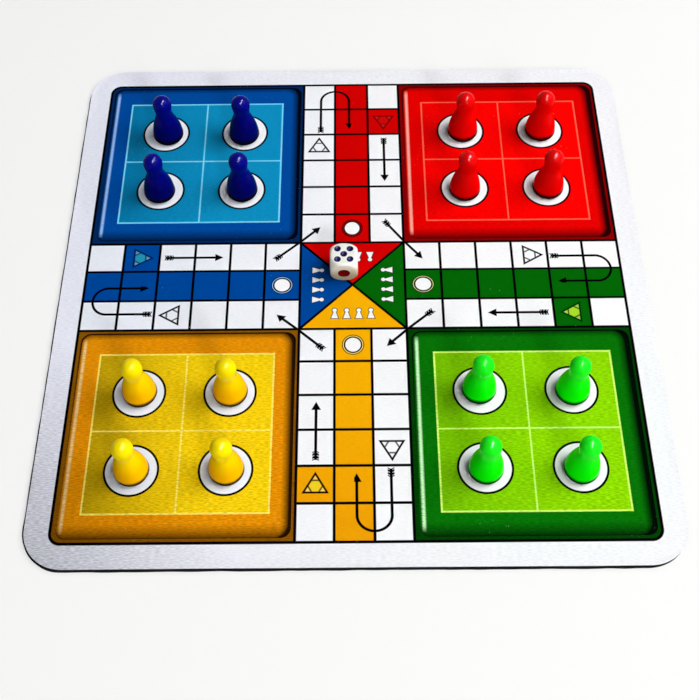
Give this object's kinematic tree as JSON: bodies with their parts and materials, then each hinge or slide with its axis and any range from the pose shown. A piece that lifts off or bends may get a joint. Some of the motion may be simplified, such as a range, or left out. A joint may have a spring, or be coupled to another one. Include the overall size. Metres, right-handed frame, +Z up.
{
  "type": "ludo game mat",
  "caption": "Square rubber-backed cloth mat with rounded corners and a printed ludo board, with round-headed plastic pawns and a rounded die that lift off it.",
  "frame": {"origin": "middle of the mat's underside, on the table", "axes": "+X to the right along the player's edge, +Y away from the player, +Z up out of the print"},
  "size_m": [0.25, 0.25, 0.0264],
  "materials": {
    "rubber_base": "matt black foam rubber with a cut edge",
    "printed_cloth": "fine woven polyester cloth with a printed ludo board",
    "blue_plastic": "glossy moulded plastic, dark blue",
    "red_plastic": "glossy moulded plastic, red",
    "yellow_plastic": "glossy moulded plastic, yellow",
    "green_plastic": "glossy moulded plastic, bright green",
    "ivory_plastic": "glossy ivory white plastic with painted pips"
  },
  "bodies": {
    "mat": {"mat_rubber_base": "rubber_base", "mat_fabric_top": "printed_cloth"},
    "blue_pawn_1": {"blue_pawn_1": "blue_plastic"},
    "blue_pawn_2": {"blue_pawn_2": "blue_plastic"},
    "blue_pawn_3": {"blue_pawn_3": "blue_plastic"},
    "blue_pawn_4": {"blue_pawn_4": "blue_plastic"},
    "red_pawn_1": {"red_pawn_1": "red_plastic"},
    "red_pawn_2": {"red_pawn_2": "red_plastic"},
    "red_pawn_3": {"red_pawn_3": "red_plastic"},
    "red_pawn_4": {"red_pawn_4": "red_plastic"},
    "yellow_pawn_1": {"yellow_pawn_1": "yellow_plastic"},
    "yellow_pawn_2": {"yellow_pawn_2": "yellow_plastic"},
    "yellow_pawn_3": {"yellow_pawn_3": "yellow_plastic"},
    "yellow_pawn_4": {"yellow_pawn_4": "yellow_plastic"},
    "green_pawn_1": {"green_pawn_1": "green_plastic"},
    "green_pawn_2": {"green_pawn_2": "green_plastic"},
    "green_pawn_3": {"green_pawn_3": "green_plastic"},
    "green_pawn_4": {"green_pawn_4": "green_plastic"},
    "die": {"die": "ivory_plastic"}
  },
  "joints": [
    {"name": "blue_pawn_1_lift", "type": "slide", "parent": "mat", "child": "blue_pawn_1", "axis": [0, 0, 1], "range_m": [0, 0.04]},
    {"name": "blue_pawn_2_lift", "type": "slide", "parent": "mat", "child": "blue_pawn_2", "axis": [0, 0, 1], "range_m": [0, 0.04]},
    {"name": "blue_pawn_3_lift", "type": "slide", "parent": "mat", "child": "blue_pawn_3", "axis": [0, 0, 1], "range_m": [0, 0.04]},
    {"name": "blue_pawn_4_lift", "type": "slide", "parent": "mat", "child": "blue_pawn_4", "axis": [0, 0, 1], "range_m": [0, 0.04]},
    {"name": "red_pawn_1_lift", "type": "slide", "parent": "mat", "child": "red_pawn_1", "axis": [0, 0, 1], "range_m": [0, 0.04]},
    {"name": "red_pawn_2_lift", "type": "slide", "parent": "mat", "child": "red_pawn_2", "axis": [0, 0, 1], "range_m": [0, 0.04]},
    {"name": "red_pawn_3_lift", "type": "slide", "parent": "mat", "child": "red_pawn_3", "axis": [0, 0, 1], "range_m": [0, 0.04]},
    {"name": "red_pawn_4_lift", "type": "slide", "parent": "mat", "child": "red_pawn_4", "axis": [0, 0, 1], "range_m": [0, 0.04]},
    {"name": "yellow_pawn_1_lift", "type": "slide", "parent": "mat", "child": "yellow_pawn_1", "axis": [0, 0, 1], "range_m": [0, 0.04]},
    {"name": "yellow_pawn_2_lift", "type": "slide", "parent": "mat", "child": "yellow_pawn_2", "axis": [0, 0, 1], "range_m": [0, 0.04]},
    {"name": "yellow_pawn_3_lift", "type": "slide", "parent": "mat", "child": "yellow_pawn_3", "axis": [0, 0, 1], "range_m": [0, 0.04]},
    {"name": "yellow_pawn_4_lift", "type": "slide", "parent": "mat", "child": "yellow_pawn_4", "axis": [0, 0, 1], "range_m": [0, 0.04]},
    {"name": "green_pawn_1_lift", "type": "slide", "parent": "mat", "child": "green_pawn_1", "axis": [0, 0, 1], "range_m": [0, 0.04]},
    {"name": "green_pawn_2_lift", "type": "slide", "parent": "mat", "child": "green_pawn_2", "axis": [0, 0, 1], "range_m": [0, 0.04]},
    {"name": "green_pawn_3_lift", "type": "slide", "parent": "mat", "child": "green_pawn_3", "axis": [0, 0, 1], "range_m": [0, 0.04]},
    {"name": "green_pawn_4_lift", "type": "slide", "parent": "mat", "child": "green_pawn_4", "axis": [0, 0, 1], "range_m": [0, 0.04]},
    {"name": "die_lift", "type": "slide", "parent": "mat", "child": "die", "axis": [0, 0, 1], "range_m": [0, 0.04]}
  ]
}
